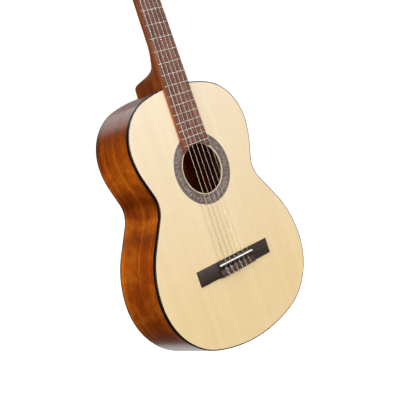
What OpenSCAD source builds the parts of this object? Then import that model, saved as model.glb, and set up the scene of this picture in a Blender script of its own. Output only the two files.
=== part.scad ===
// Classical guitar, full size, as an assembly of separate named pieces.
// Frame: origin at the body's bottom end on the centre line, front face of the soundboard on y = 0.
// +Z runs up the neck, +X is the treble side, +Y goes into the body. Millimetres.

/* [Node] */
// which piece to draw, or all of them

/* [Body outline] */
// body length, tail to neck joint
body_len = 475; // [465:1:490]
// upper bout width
upper_w = 280.8; // [272:0.2:290]
// waist width
waist_w = 240.1; // [232:0.1:246]
// lower bout width
lower_w = 362.5; // [350:0.5:372]
// distance of the upper bout below the top end
upper_at = 96; // [92:1:102]
// distance of the waist below the top end
waist_at = 183.8; // [178:0.2:190]
// distance of the lower bout below the top end
lower_at = 342.6; // [334:0.2:348]

/* [Body depth] */
// depth at the crown of the arched back
depth = 107; // [100:0.5:110]
// height of the crown of the back above the bottom end
crown_z = 190; // [150:5:230]
// radius of the arched back
back_radius = 4500; // [3500:100:6000]
// soundboard thickness
top_t = 2.6; // [2.2:0.1:3]
// rib thickness, and width of the bindings
rib_t = 2; // [1.8:0.1:2.4]
// back plate thickness
back_t = 2.6; // [2.2:0.1:3]
// depth of the front binding on the side
bind_h = 6; // [5:0.5:7]
// depth of the back binding on the side
bind_b = 3; // [2.8:0.1:4]
// width of the glued linings
lining_w = 6; // [5:0.5:8]

/* [Soundhole] */
// soundhole radius
hole_r = 45; // [42:0.5:46]
// soundhole centre below the nut
hole_from_nut = 479.6; // [478:0.1:481]
// inner radius of the rosette
rosette_in = 47.6; // [47:0.1:49]
// outer radius of the rosette
rosette_out = 64.8; // [60:0.2:66]

/* [Scale and strings] */
// vibrating length, nut to saddle
scale_len = 650; // [649:1:651]
// number of frets
fret_count = 19; // [18:1:19]
// string spread at the nut, outer to outer
spread_nut = 40; // [38:0.5:42]
// string spread at the saddle, outer to outer
spread_saddle = 58; // [56:0.5:60]

/* [Neck] */
// fingerboard width at the nut
nut_w = 48; // [46:0.5:52]
// fingerboard width where the neck meets the body
joint_w = 56.6; // [55:0.2:60]
// fingerboard thickness
board_t = 5.8; // [5:0.1:6.4]
// forward lean of the neck, measured at the nut
lean = 2.6; // [1.5:0.1:3.5]
// neck depth behind the fingerboard
neck_d = 15.8; // [14:0.1:18]
// half width of the heel at the back
heel_hw = 13; // [11:0.5:16]

/* [Head] */
// backward tilt of the head
head_tilt = 14; // [13:0.5:15]
// head thickness with its veneer
head_t = 20; // [19:0.5:21]
// half width of the head
head_hw = 36; // [35.5:0.1:36.5]
// length of the head from the nut
head_len = 190; // [184:1:196]

/* [Tuners] */
// distance from the nut to the first roller, along the head
roller_z = 58; // [57:1:60]
// spacing of the rollers
roller_step = 35; // [34:0.5:36]
// roller barrel radius
roller_r = 5; // [4.5:0.1:5.2]

/* [Hidden] */
// exact-curve resolution
$fn = 48;
nut_z = body_len + scale_len / 2;
saddle_z = nut_z - scale_len;
hole_z = nut_z - hole_from_nut;
// radii of the outline's arcs
r_top = 88.7;
r_up = 127.5;
r_waist = 46.9;
r_low = 167.6;
r_tail = 122.6;
ub = upper_w / 2;
wa = waist_w / 2;
lb = lower_w / 2;
// centres and angles of the outline's arcs, in x and distance below the top end
c1 = [ub - r_top, upper_at];
ra = (c1.x * c1.x + upper_at * upper_at - r_top * r_top) / (2 * (upper_at - r_top));
a1 = atan2(c1.y - ra, c1.x);
c2 = [ub - r_up, upper_at];
c3 = [wa + r_waist, waist_at];
c4 = [lb - r_low, lower_at];
c5 = [lb - r_tail, lower_at];
tail_h = body_len - lower_at;
rf = (c5.x * c5.x + tail_h * tail_h - r_tail * r_tail) / (2 * (tail_h - r_tail));
af = atan2(c5.y - body_len + rf, c5.x);
d23 = norm(c3 - c2);
t23 = atan2(c3.y - c2.y, c3.x - c2.x) - acos(min(1, (r_up + r_waist) / d23));
d34 = norm(c4 - c3);
t34 = atan2(c4.y - c3.y, c4.x - c3.x) + acos(min(1, (r_low + r_waist) / d34));
// strings: radii from string 1 to string 6
string_r = [0.36, 0.41, 0.51, 0.38, 0.45, 0.55];
// where the strings run
string_nut_y = -10.2;
saddle_top = 11;
tie_h = 5.4;
nut_t = 5.5;
// plane of the fingerboard's underside at the nut
head_y = -lean - 2;
roller_y = 7.5;
slot_in = 7;
slot_out = 24;
plate_t = 1.5;
// worm gear: module 0.8, 14 teeth, single start
gear_teeth = 14;
gear_pitch = 5.6;
worm_pitch = 3;
worm_lead = PI * 0.8;
worm_x = head_hw + plate_t + 4;
worm_drop = gear_pitch + worm_pitch;

// ---- helpers ----

function arc_pts(c, r, a0, a1, n) =
  [for (i = [0 : n - 1]) [c.x + r * cos(a0 + (a1 - a0) * i / n), c.y + r * sin(a0 + (a1 - a0) * i / n)]];

// right half of the outline, moved inwards by t, from the top end to the tail
function half_pts(t) = concat(
  arc_pts([0, ra], ra - t, -90, a1, 6),
  arc_pts(c1, r_top - t, a1, 0, 16),
  arc_pts(c2, r_up - t, 0, t23, 10),
  arc_pts(c3, r_waist + t, t23 + 180, t34, 24),
  arc_pts(c4, r_low - t, t34 - 180, 0, 14),
  arc_pts(c5, r_tail - t, 0, af, 16),
  arc_pts([0, body_len - rf], rf - t, af, 90, 6),
  [[0, body_len - t]]);

function mirror_pts(p) = [for (i = [len(p) - 2 : -1 : 1]) [-p[i].x, p[i].y]];

// whole outline as x and z
function outline(t) = [for (p = concat(half_pts(t), mirror_pts(half_pts(t)))) [p.x, body_len - p.y]];

// flat shape in x and z, made solid from y0 to y1
module slab(y0, y1) {
  translate([0, y1, 0]) rotate([90, 0, 0]) linear_extrude(y1 - y0) children();
}

// flat shape in y and z, made solid from x0 to x1
module along_x(x0, x1) {
  translate([x0, 0, 0]) rotate([90, 0, 90]) linear_extrude(x1 - x0) children();
}

// inside of the arched back's surface, moved inwards by t
module dome(t) {
  translate([0, depth - back_radius, crown_z]) sphere(r = back_radius - t, $fn = 256);
}

// the outline's rim between insets t0 and t1
module rim(t0, t1) {
  difference() {
    polygon(outline(t0));
    polygon(outline(t1));
  }
}

// everything inside the ribs, the soundboard and the back
module cavity() {
  intersection() {
    slab(top_t, depth + 5) polygon(outline(rib_t));
    dome(back_t);
  }
}

// head frame: face of the veneer on y = 0, z along the head
module at_head() {
  translate([0, head_y, nut_z + nut_t]) rotate([-head_tilt, 0, 0]) children();
}

// a point of the head frame, in the row frame
function from_head(p) = [p.x, head_y + p.y * cos(head_tilt) + p.z * sin(head_tilt),
  nut_z + nut_t - p.y * sin(head_tilt) + p.z * cos(head_tilt)];

// round bar across the head on side s, from x0 to x1
module axle(s, x0, x1, r) {
  translate([s * x0, 0, 0]) rotate([0, s * 90, 0]) cylinder(h = x1 - x0, r = r);
}

// strings 1 to 3 are on the treble side, 4 to 6 on the bass side
function side(i) = i < 4 ? 1 : -1;
function roller_at(i) = roller_z + roller_step * (i < 4 ? i - 1 : 6 - i);
function nut_x(i) = spread_nut * (3.5 - i) / 5;
function saddle_x(i) = spread_saddle * (3.5 - i) / 5;
function roller_x(i) = side(i) * (i == 1 || i == 6 ? 19 : i == 2 || i == 5 ? 15 : 11);

// ---- body ----

module soundboard() {
  color([0.93, 0.83, 0.66]) difference() {
    slab(0, top_t) polygon(outline(rib_t));
    translate([0, -1, hole_z]) rotate([-90, 0, 0]) cylinder(h = top_t + 2, r = hole_r, $fn = 96);
    translate([0, 0, hole_z]) rotate([-90, 0, 0]) ring(rosette_in, rosette_out, -1, 1);
  }
}

module ring(r0, r1, z0, z1) {
  translate([0, 0, z0]) difference() {
    cylinder(h = z1 - z0, r = r1, $fn = 96);
    translate([0, 0, -1]) cylinder(h = z1 - z0 + 2, r = r0, $fn = 96);
  }
}

module rosette() {
  color([0.48, 0.42, 0.38]) translate([0, 0, hole_z]) rotate([-90, 0, 0]) ring(rosette_in, rosette_out, 0, 1);
}

// one side wall; s is -1 for bass and 1 for treble
module rib(s) {
  intersection() {
    slab(bind_h, depth + 5) rim(0, rib_t);
    dome(bind_b);
    translate([s > 0 ? 0 : -lower_w, 0, -10]) cube([lower_w, depth + 10, body_len + 20]);
  }
}

module rib_half(s) {
  color([0.5, 0.2, 0.06]) difference() {
    rib(s);
    translate([-4, -1, -5]) cube([8, depth + 10, 30]);
  }
}

module end_strip() {
  color([0.1, 0.07, 0.06]) intersection() {
    slab(bind_h, depth + 5) rim(0, rib_t);
    dome(bind_b);
    translate([-4, 0, -5]) cube([8, depth + 10, 30]);
  }
}

module back_plate() {
  color([0.45, 0.18, 0.06]) difference() {
    intersection() {
      slab(depth - 20, depth + 5) polygon(outline(rib_t));
      dome(0);
    }
    dome(back_t);
  }
}

module top_binding() {
  color([0.05, 0.045, 0.045]) slab(0, bind_h) rim(0, rib_t);
}

module back_binding() {
  color([0.05, 0.045, 0.045]) difference() {
    intersection() {
      slab(depth - 20, depth + 5) rim(0, rib_t);
      dome(0);
    }
    dome(bind_b);
  }
}

module neck_block() {
  color([0.55, 0.33, 0.2]) intersection() {
    cavity();
    translate([-34, 0, body_len - 32]) cube([68, depth + 5, 40]);
  }
}

module tail_block() {
  color([0.55, 0.33, 0.2]) intersection() {
    cavity();
    translate([-40, 0, 0]) cube([80, depth + 5, 17]);
  }
}

module blocks_room() {
  translate([-34, -1, body_len - 32]) cube([68, depth + 10, 60]);
  translate([-40, -1, -20]) cube([80, depth + 10, 37]);
}

module top_linings() {
  color([0.62, 0.4, 0.25]) difference() {
    slab(top_t, 16) rim(rib_t, rib_t + lining_w);
    blocks_room();
  }
}

module back_linings() {
  color([0.62, 0.4, 0.25]) difference() {
    intersection() {
      slab(depth - 40, depth + 5) rim(rib_t, rib_t + lining_w);
      dome(back_t);
    }
    dome(back_t + 13);
    blocks_room();
  }
}

module fan_braces() {
  color([0.86, 0.74, 0.55]) difference() {
    for (i = [-3 : 3])
      slab(top_t, top_t + 5) polygon([
        [13 * i - 3, hole_z - 72],
        [13 * i + 3, hole_z - 72],
        [36 * i + 3, 52 + 5 * abs(i)],
        [36 * i - 3, 52 + 5 * abs(i)]]);
    translate([-95, top_t - 1, saddle_z - 24]) cube([190, 2.6, 34]);
  }
}

module harmonic_bars() {
  color([0.86, 0.74, 0.55]) for (z = [hole_z - 65, hole_z + 62])
    intersection() {
      slab(top_t, top_t + 15) polygon(outline(rib_t + lining_w));
      translate([-200, 0, z]) cube([400, 40, 6]);
    }
}

module bridge_patch() {
  color([0.8, 0.66, 0.46]) translate([-95, top_t, saddle_z - 24]) cube([190, 1.6, 34]);
}

module soundhole_patch() {
  color([0.8, 0.66, 0.46]) translate([0, 0, hole_z]) rotate([-90, 0, 0]) ring(47, 57, top_t, top_t + 1.6);
}

module back_braces() {
  color([0.86, 0.74, 0.55]) for (z = [85, 232, 372])
    difference() {
      intersection() {
        slab(depth - 40, depth) polygon(outline(rib_t + lining_w));
        dome(back_t);
        translate([-200, 0, z]) cube([400, depth, 7]);
      }
      dome(back_t + 14);
    }
}

module back_centre_strip() {
  color([0.8, 0.66, 0.46]) difference() {
    intersection() {
      translate([-9, depth - 30, 17]) cube([18, 30, body_len - 49]);
      dome(back_t);
    }
    dome(back_t + 2.5);
    for (z = [85, 232, 372]) translate([-20, 0, z]) cube([40, depth, 7]);
  }
}

// ---- neck ----

// half width of the fingerboard at height z
function board_hw(z) = joint_w / 2 - (joint_w - nut_w) / 2 * (z - body_len) / (nut_z - body_len);
// underside of the fingerboard at height z
function board_y(z) = -lean * max(0, z - body_len) / (nut_z - body_len);

// how far the neck and heel reach behind the fingerboard, s from 0 at the body to 1 where the heel ends
function heel_tail(s) = 0.66 * pow(1 - s, 1.5);
function heel_f(s) = heel_tail(s) + (1 - heel_tail(s)) / (1 + pow(s / 0.37, 11.5));
function smooth(t) = t <= 0 ? 0 : t >= 1 ? 1 : t * t * (3 - 2 * t);
function heel_end(z) = depth - pow(z - crown_z, 2) / (2 * back_radius);
function neck_depth(z) = z > body_len + 75
  ? neck_d + 2.6 * smooth((z - nut_z + 22) / 26)
  : neck_d + (heel_end(z) - board_y(z) - neck_d) * heel_f(max(0, z - body_len) / 75);
function heelness(z) = 1 - smooth((z - body_len - 22) / 32);

// one cross-section of the neck, front edge to front edge round the back
function neck_section(z, n) = [for (k = [0 : n])
  let (
    t = 180 * k / n,
    u = sin(t),
    a = board_hw(z),
    e = a * cos(t),
    w = (a - heel_hw) * pow(1 - u, 1.6) + heel_hw * sqrt(max(0, 1 - pow(u, 60))),
    h = heelness(z))
  [(1 - h) * e + h * w * sign(cos(t)), board_y(z) + neck_depth(z) * u, z]];

function neck_stations() = concat(
  [for (i = [0 : 15]) body_len - 6 + i * 3],
  [for (i = [0 : 9]) body_len + 42 + i * 4],
  [for (i = [0 : 10]) body_len + 84 + i * 21],
  [nut_z - 16, nut_z - 9, nut_z - 3, nut_z + nut_t]);

module loft(sections) {
  n = len(sections[0]);
  m = len(sections);
  polyhedron(
    points = [for (s = sections) for (p = s) p],
    faces = concat(
      [[for (i = [0 : n - 1]) i]],
      [[for (i = [n - 1 : -1 : 0]) (m - 1) * n + i]],
      [for (j = [0 : m - 2]) for (i = [0 : n - 1]) [j * n + i, (j + 1) * n + i, (j + 1) * n + (i + 1) % n]],
      [for (j = [0 : m - 2]) for (i = [0 : n - 1]) [j * n + i, (j + 1) * n + (i + 1) % n, j * n + (i + 1) % n]]),
    convexity = 6);
}

module neck_solid() {
  difference() {
    loft([for (z = neck_stations()) neck_section(z, 28)]);
    slab(-10, depth + 10) polygon(outline(0));
  }
}

module neck() {
  color([0.36, 0.19, 0.12]) difference() {
    neck_solid();
    translate([-40, heel_end(body_len) - 3, body_len - 20]) cube([80, 40, 60]);
  }
}

module heel_cap() {
  color([0.45, 0.18, 0.06]) intersection() {
    neck_solid();
    translate([-40, heel_end(body_len) - 3, body_len - 20]) cube([80, 40, 60]);
  }
}

module board_blank() {
  difference() {
    intersection() {
      along_x(-40, 40) polygon([
        [0, hole_z],
        [0, body_len],
        [-lean, nut_z],
        [-lean - board_t, nut_z],
        [-board_t, body_len],
        [-board_t + 0.9, hole_z]]);
      slab(-20, 5) polygon([
        [-board_hw(hole_z), hole_z],
        [board_hw(hole_z), hole_z],
        [board_hw(nut_z), nut_z],
        [-board_hw(nut_z), nut_z]]);
    }
    translate([0, -20, hole_z]) rotate([-90, 0, 0]) cylinder(h = 30, r = hole_r + 0.6, $fn = 96);
  }
}

function fret_z(k) = nut_z - scale_len * (1 - pow(2, -k / 12));
// front face of the fingerboard at height z
function board_top(z) = z > body_len ? board_y(z) - board_t
  : -board_t + 0.9 * (body_len - z) / (body_len - hole_z);

module tangs(w) {
  for (k = [1 : fret_count])
    translate([-board_hw(fret_z(k)), board_top(fret_z(k)) - 0.5, fret_z(k) - w / 2])
      cube([2 * board_hw(fret_z(k)), 2.3, w]);
}

module fingerboard() {
  color([0.34, 0.23, 0.17]) difference() {
    board_blank();
    tangs(0.6);
  }
}

module frets() {
  color([0.8, 0.79, 0.76]) difference() {
    union() {
      tangs(0.6);
      for (k = [1 : fret_count])
        along_x(-board_hw(fret_z(k)) + 0.1, board_hw(fret_z(k)) - 0.1)
          translate([board_top(fret_z(k)), fret_z(k)])
            polygon([[0.1, -1.05], [-0.35, -1.05], [-0.8, -0.7], [-1, -0.25],
              [-1, 0.25], [-0.8, 0.7], [-0.35, 1.05], [0.1, 1.05]]);
    }
    fingerboard();
  }
}

// ---- head ----

function head_half() = concat(
  [[nut_w / 2, -12], [nut_w / 2, 2]],
  [for (i = [1 : 10]) [nut_w / 2 + (head_hw - nut_w / 2) * (1 - cos(18 * i)) / 2, 2 + 2.6 * i]],
  [[head_hw, head_len - 34]],
  [for (i = [1 : 5]) [head_hw - 3.4 * sin(18 * i), head_len - 28 + 3 * (1 - cos(18 * i))]],
  [for (i = [1 : 8]) [(head_hw - 3.4) * cos(10 * i), head_len - 25 + 17 * sin(10 * i)]],
  [[2.5, head_len - 5], [1.2, head_len - 1], [0, head_len]]);

function head_outline() = concat(head_half(), [for (i = [len(head_half()) - 2 : -1 : 0])
  [-head_half()[i].x, head_half()[i].y]]);

// long slot with round ends on side s, in x and distance along the head
function slot_pts(s) =
  let (
    r = (slot_out - slot_in) / 2,
    x = s * (slot_in + slot_out) / 2,
    low = roller_z - 21.5,
    high = roller_z + 2 * roller_step + 9.5)
  concat(
    [for (k = [0 : 12]) [x + r * cos(15 * k), high + r * sin(15 * k)]],
    [for (k = [12 : 24]) [x + r * cos(15 * k), low + r * sin(15 * k)]]);

// full-width plate of the head between depths y0 and y1, cut off square at the nut
module head_layer(y0, y1) {
  difference() {
    at_head() slab(y0, y1) difference() {
      polygon(head_outline());
      for (s = [-1, 1]) polygon(slot_pts(s));
    }
    translate([-60, -40, nut_z - 60]) cube([120, 100, 60 + nut_t]);
  }
}

module screw_places() {
  for (s = [-1, 1])
    for (z = [roller_z - 15.5, roller_z + 11, roller_z + roller_step + 11, roller_z + 2 * roller_step + 12])
      for (y = [10])
        translate([0, y, z]) axle(s, head_hw - 7, head_hw + plate_t, 1.2);
}

module headstock() {
  color([0.4, 0.22, 0.13]) difference() {
    head_layer(2, head_t);
    at_head() {
      for (i = [1 : 6])
        translate([0, roller_y, roller_at(i)]) axle(side(i), 3.8, head_hw + 1, 3.06);
      screw_places();
    }
  }
}

module head_veneer() {
  color([0.24, 0.13, 0.09]) head_layer(0, 2);
}

// ---- nut, bridge, saddle ----

function string_nut(i) = [nut_x(i), string_nut_y - string_r[i - 1], nut_z + 0.8];
function string_saddle(i) = [saddle_x(i), -saddle_top - string_r[i - 1] - 0.04, saddle_z - 0.5];
function string_tie(i) = [saddle_x(i), -tie_h, saddle_z - 8.6];
// where the string meets its roller, in the head frame
function string_roller_h(i) = [roller_x(i), roller_y - (roller_r + 0.3 + string_r[i - 1]), roller_at(i) - 0.4];

// cuts the nut from the string's underside upwards, level and then down towards the roller
module string_slot(i) {
  p = string_nut(i);
  q = from_head(string_roller_h(i));
  k = (q.y - p.y) / (q.z - p.z);
  g = (q.x - p.x) / (q.z - p.z) * nut_t;
  w = string_r[i - 1] + 0.03;
  along_x(p.x + min(0, g) - w, p.x + max(0, g) + w) polygon([
    [string_nut_y + 0.03, nut_z - 1],
    [string_nut_y + 0.03, nut_z + 0.6],
    [string_nut_y + 0.03 + k * 8, nut_z + 8.6],
    [-16, nut_z + 8.6],
    [-16, nut_z - 1]]);
}

module nut() {
  color([0.93, 0.9, 0.82]) difference() {
    along_x(-nut_w / 2, nut_w / 2) polygon([
      [-lean, nut_z],
      [board_y(nut_z + nut_t), nut_z + nut_t],
      [-9.9, nut_z + nut_t],
      [-11, nut_z + nut_t - 1.6],
      [-11.3, nut_z + 0.9],
      [-11, nut_z]]);
    for (i = [1 : 6]) string_slot(i);
  }
}

module bridge() {
  hw = 42.5;
  color([0.28, 0.2, 0.16]) difference() {
    union() {
      along_x(-hw, hw) polygon([
        [0, saddle_z + 7.1],
        [-2.6, saddle_z + 7.1],
        [-6.8, saddle_z + 4.2],
        [-7.4, saddle_z + 1.4],
        [-6.6, saddle_z - 1.4],
        [-3.8, saddle_z - 7.6],
        [-3.8, saddle_z - 9],
        [-8.2, saddle_z - 9],
        [-8.5, saddle_z - 9.8],
        [-8.5, saddle_z - 20],
        [-7.6, saddle_z - 21.4],
        [0, saddle_z - 21.4]]);
      for (s = [0, 1])
        mirror([s, 0, 0]) translate([0, 0, saddle_z - 20.7]) linear_extrude(27.8) polygon([
          [hw, 0],
          [hw, -4.2],
          [hw + 4, -3.3],
          [86, -2.6],
          [89.6, -1.9],
          [90, 0]]);
    }
    translate([-41.2, -12, saddle_z - 1.25]) cube([82.4, 8, 2.5]);
    for (i = [1 : 6])
      translate([saddle_x(i), -tie_h, saddle_z - 22]) cylinder(h = 14, r = 0.95);
  }
}

module saddle() {
  color([0.95, 0.93, 0.88]) translate([0, 0, saddle_z]) union() {
    translate([-41.2, -saddle_top + 1.25, -1.25]) cube([82.4, saddle_top - 5.25, 2.5]);
    translate([-41.2, -saddle_top + 1.25, 0]) rotate([0, 90, 0]) cylinder(h = 82.4, r = 1.25);
  }
}

// ---- strings ----

// ring of n points round p, square to direction d, on a tube of radius r
function tube_ring(p, d, r, n) =
  let (
    w = d / norm(d),
    u = cross_unit([1, 0, 0], w),
    v = cross(w, u))
  [for (k = [0 : n - 1]) p + r * cos(360 * k / n) * u + r * sin(360 * k / n) * v];
function cross_unit(a, b) = cross(a, b) / norm(cross(a, b));
function unit(v) = v / norm(v);

// tube through the points of a path, mitred at the bends
module tube(path, r) {
  m = len(path);
  loft([for (i = [0 : m - 1])
    tube_ring(path[i],
      i == 0 ? path[1] - path[0]
        : i == m - 1 ? path[i] - path[i - 1]
        : unit(path[i] - path[i - 1]) + unit(path[i + 1] - path[i]), r, 12)]);
}

module string(i) {
  color(i > 3 ? [0.75, 0.73, 0.7] : [0.93, 0.91, 0.82])
    tube([
      from_head(string_roller_h(i)),
      string_nut(i),
      string_saddle(i),
      string_tie(i),
      [saddle_x(i), -tie_h, saddle_z - 22.4]], string_r[i - 1]);
}

// ---- tuners ----

module tuner_plate(s) {
  color([0.82, 0.68, 0.4]) at_head() difference() {
    union() {
      translate([s > 0 ? head_hw : -head_hw - plate_t, 1.5, roller_z - 20])
        cube([plate_t, 17, 2 * roller_step + 37]);
      for (k = [0 : 2])
        for (y = [0.9, 12.2])
          translate([s > 0 ? head_hw : -worm_x - 3, y, roller_z + k * roller_step - worm_drop - 3])
            cube([worm_x + 3 - head_hw, 2.1, 6]);
    }
    for (k = [0 : 2]) {
      translate([0, roller_y, roller_z + k * roller_step]) axle(s, head_hw - 1, worm_x + 6, 3.06);
      translate([s * worm_x, -2, roller_z + k * roller_step - worm_drop])
        rotate([-90, 0, 0]) cylinder(h = 24, r = 1.55);
    }
    screw_places();
  }
}

module plate_screws() {
  color([0.82, 0.68, 0.4]) at_head() {
    screw_places();
    for (s = [-1, 1])
      for (z = [roller_z - 15.5, roller_z + 11, roller_z + roller_step + 11, roller_z + 2 * roller_step + 12])
        translate([0, 10, z]) axle(s, head_hw + plate_t, head_hw + plate_t + 0.9, 2.2);
  }
}

module roller(i) {
  s = side(i);
  color([0.92, 0.89, 0.8]) at_head() translate([0, roller_y, roller_at(i)]) difference() {
    union() {
      axle(s, 4, head_hw + plate_t + 0.4, 3);
      axle(s, slot_in + 0.5, slot_out - 0.5, roller_r);
      axle(s, head_hw + plate_t + 0.3, worm_x + 1.1, 2);
    }
    translate([roller_x(i), 0, 0]) rotate([-90, 0, 0]) cylinder(h = 3 * roller_r, r = 0.8, center = true);
  }
}

// fourteen straight teeth, one of them pointing at the worm
function gear_pts() = [for (k = [0 : gear_teeth - 1]) for (q = [
    [4.55, -8.86], [6.3, -2], [6.3, 2], [4.55, 8.86]])
  [q[0] * cos(-90 + 360 * k / gear_teeth + q[1]), q[0] * sin(-90 + 360 * k / gear_teeth + q[1])]];

module gear(i) {
  s = side(i);
  color([0.72, 0.6, 0.36]) at_head() translate([0, roller_y, roller_at(i)]) {
    difference() {
      union() {
        along_x(s * worm_x - 1.1, s * worm_x + 1.1) polygon(gear_pts());
        axle(s, head_hw + plate_t + 0.4, worm_x - 1.1, 3.6);
      }
      axle(s, head_hw, worm_x + 1.1, 2);
    }
    difference() {
      axle(s, worm_x + 1.1, worm_x + 2.3, 2.9);
      translate([s * (worm_x + 2.3), 0, 0]) cube([1.2, 7, 0.8], center = true);
    }
  }
}

// thread height: p is the place along one lead, 0 in the middle of the groove
function thread_r(p) = 2 + 1.7 * max(0, min(1, (0.65 - worm_lead * abs(p - floor(p) - 0.5)) / 0.4));

function worm_ring(z, n) = [for (k = [0 : n - 1])
  let (t = 360 * k / n, r = thread_r(z / worm_lead - (t + 90) / 360))
  [r * cos(t), r * sin(t), z]];

module worm(i) {
  color([0.8, 0.66, 0.4]) at_head()
    translate([side(i) * worm_x, roller_y, roller_at(i) - worm_drop]) rotate([-90, 0, 0]) {
      loft([for (j = [0 : 34]) worm_ring(-4.25 + j * 0.25, 18)]);
      translate([0, 0, -7.2]) cylinder(h = 2.95, r = 1.5);
      translate([0, 0, 4.25]) cylinder(h = 13.75, r = 1.5);
    }
}

module button(i) {
  color([0.95, 0.93, 0.88]) at_head()
    translate([side(i) * worm_x, roller_y + 14, roller_at(i) - worm_drop]) rotate([-90, 0, 0])
      difference() {
        intersection() {
          rotate_extrude() polygon([
            [0, 0], [3.4, 0], [3.8, 1.2], [3.6, 2.4], [6.2, 3.6], [8.4, 6], [9.2, 9],
            [8.8, 12], [7.2, 14.4], [4.6, 15.8], [0, 16.3]]);
          translate([-4.2, -12, -1]) cube([8.4, 24, 20]);
        }
        translate([0, 0, -1]) cylinder(h = 5, r = 1.5);
      }
}

// ---- drawing ----

soundboard();
rosette();
rib_half(-1);  // rib_bass
rib_half(1);  // rib_treble
back_plate();
back_centre_strip();
top_binding();
back_binding();
end_strip();
neck_block();
tail_block();
top_linings();
back_linings();
fan_braces();
harmonic_bars();
bridge_patch();
soundhole_patch();
back_braces();
neck();
heel_cap();
headstock();
head_veneer();
fingerboard();
frets();
nut();
bridge();
saddle();
string(1);  // string_1
string(2);  // string_2
string(3);  // string_3
string(4);  // string_4
string(5);  // string_5
string(6);  // string_6
tuner_plate(-1);  // tuner_plate_bass
tuner_plate(1);  // tuner_plate_treble
plate_screws();
roller(1);  // roller_1
roller(2);  // roller_2
roller(3);  // roller_3
roller(4);  // roller_4
roller(5);  // roller_5
roller(6);  // roller_6
gear(1);  // gear_1
gear(2);  // gear_2
gear(3);  // gear_3
gear(4);  // gear_4
gear(5);  // gear_5
gear(6);  // gear_6
worm(1);  // worm_1
worm(2);  // worm_2
worm(3);  // worm_3
worm(4);  // worm_4
worm(5);  // worm_5
worm(6);  // worm_6
button(1);  // button_1
button(2);  // button_2
button(3);  // button_3
button(4);  // button_4
button(5);  // button_5
button(6);  // button_6
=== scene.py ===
"""Classical guitar: looks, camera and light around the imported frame. Metres, in the row frame."""
import math

import bmesh
import bpy
from mathutils import Matrix, Vector


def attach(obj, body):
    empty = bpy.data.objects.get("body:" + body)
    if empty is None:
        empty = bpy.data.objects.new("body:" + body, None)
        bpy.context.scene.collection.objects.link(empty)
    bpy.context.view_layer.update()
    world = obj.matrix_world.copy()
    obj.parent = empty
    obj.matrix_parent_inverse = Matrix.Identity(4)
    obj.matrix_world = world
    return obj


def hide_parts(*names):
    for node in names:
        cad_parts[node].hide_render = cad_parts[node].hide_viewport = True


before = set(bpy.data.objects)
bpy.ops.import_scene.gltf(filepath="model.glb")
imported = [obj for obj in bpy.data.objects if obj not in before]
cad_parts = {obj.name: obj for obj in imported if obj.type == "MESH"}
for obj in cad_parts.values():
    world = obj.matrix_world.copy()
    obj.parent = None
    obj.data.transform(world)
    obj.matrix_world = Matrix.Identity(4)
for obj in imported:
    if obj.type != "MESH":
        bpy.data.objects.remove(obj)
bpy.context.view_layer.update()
MM = 0.001
ROOT = "guitar"

# ---- driving sizes, millimetres, taken from the part; where one differs, its comment says so ----
BODY_LEN = 475.0
# half widths of the three bouts, how far each lies from the neck end, and the arcs' radii
UPPER, WAIST, LOWER = 280.8 / 2, 240.1 / 2, 362.5 / 2
UPPER_AT, WAIST_AT, LOWER_AT = 96.0, 183.8, 342.6
R_TOP, R_UP, R_WAIST, R_LOW, R_TAIL = 88.7, 127.5, 46.9, 167.6, 122.6
# the back's arch, then thicknesses of rib and back and heights of the two bindings
DEPTH, CROWN_Z, BACK_R = 107.0, 190.0, 4500.0
RIB_T, BACK_T, BIND_H, BIND_B = 2.0, 2.6, 6.0, 3.0
SCALE = 650.0
NUT_Z = BODY_LEN + SCALE / 2
SADDLE_Z = NUT_Z - SCALE
HOLE_Z = NUT_Z - 479.6
# the part's ring starts at 47.6, and its face is level with the soundboard
ROSETTE_IN, ROSETTE_OUT, ROSETTE_LIFT = 46.4, 64.8, 0.03
LEAN, NECK_D, HEEL_HW = 2.6, 15.8, 13.0
# the heel's reach up the neck, the share of its foot, and where and how fast it turns: 0.37 and 11.5 in the part
HEEL_REACH, HEEL_FOOT, HEEL_TURN, HEEL_POWER = 75, 0.66, 0.36, 9
HEAD_SWELL, SWELL_BELOW_NUT, SWELL_RUN = 2.6, 22, 26
NUT_W, JOINT_W, NUT_T = 48.0, 56.6, 5.5
HEAD_TILT = math.radians(14)
HEAD_AT = Vector((0, -LEAN - 2, NUT_Z + NUT_T))
ROLLER_Y, ROLLER_R, ROLLER_Z, ROLLER_STEP = 7.5, 5.0, 58.0, 35.0
WORM_X, WORM_DROP = 41.5, 8.6
BUTTON_Y = 14
# strings 1 to 6: radii, where each meets its roller, then how wide and high they lie at nut, saddle and ties
STRING_R = (0.36, 0.41, 0.51, 0.38, 0.45, 0.55)
WIND_X = (19, 15, 11, -11, -15, -19)
NUT_SPREAD, SADDLE_SPREAD = 40, 58
NUT_TOP, SADDLE_TOP, TIE_HOLE_Y, TIE_BLOCK_TOP = -10.2, -11.04, -5.4, -8.5
STRINGS = range(1, 7)

# ---- for looks only: the rosette's tiles, the button's flat sides, and how near points merge, in metres ----
TILE_RING_R, TILE_SPAN = 56, 10.0
BUTTON_HALF_T, BUTTON_POWER = 4.1, 5.0
WELD_REACH = 0.00002


# ---- small helpers ----
def side(i):
    return 1 if i < 4 else -1


def string_x(i, spread):
    """Where string i lies across, when the outer two are a spread apart."""
    return spread * (3.5 - i) / 5


def roller_at(i):
    return ROLLER_Z + ROLLER_STEP * (i - 1 if i < 4 else 6 - i)


def from_head(x, y, z):
    """A point given in the head's own frame, in the row frame, millimetres."""
    c, s = math.cos(HEAD_TILT), math.sin(HEAD_TILT)
    return HEAD_AT + Vector((x, y * c + z * s, z * c - y * s))


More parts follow.
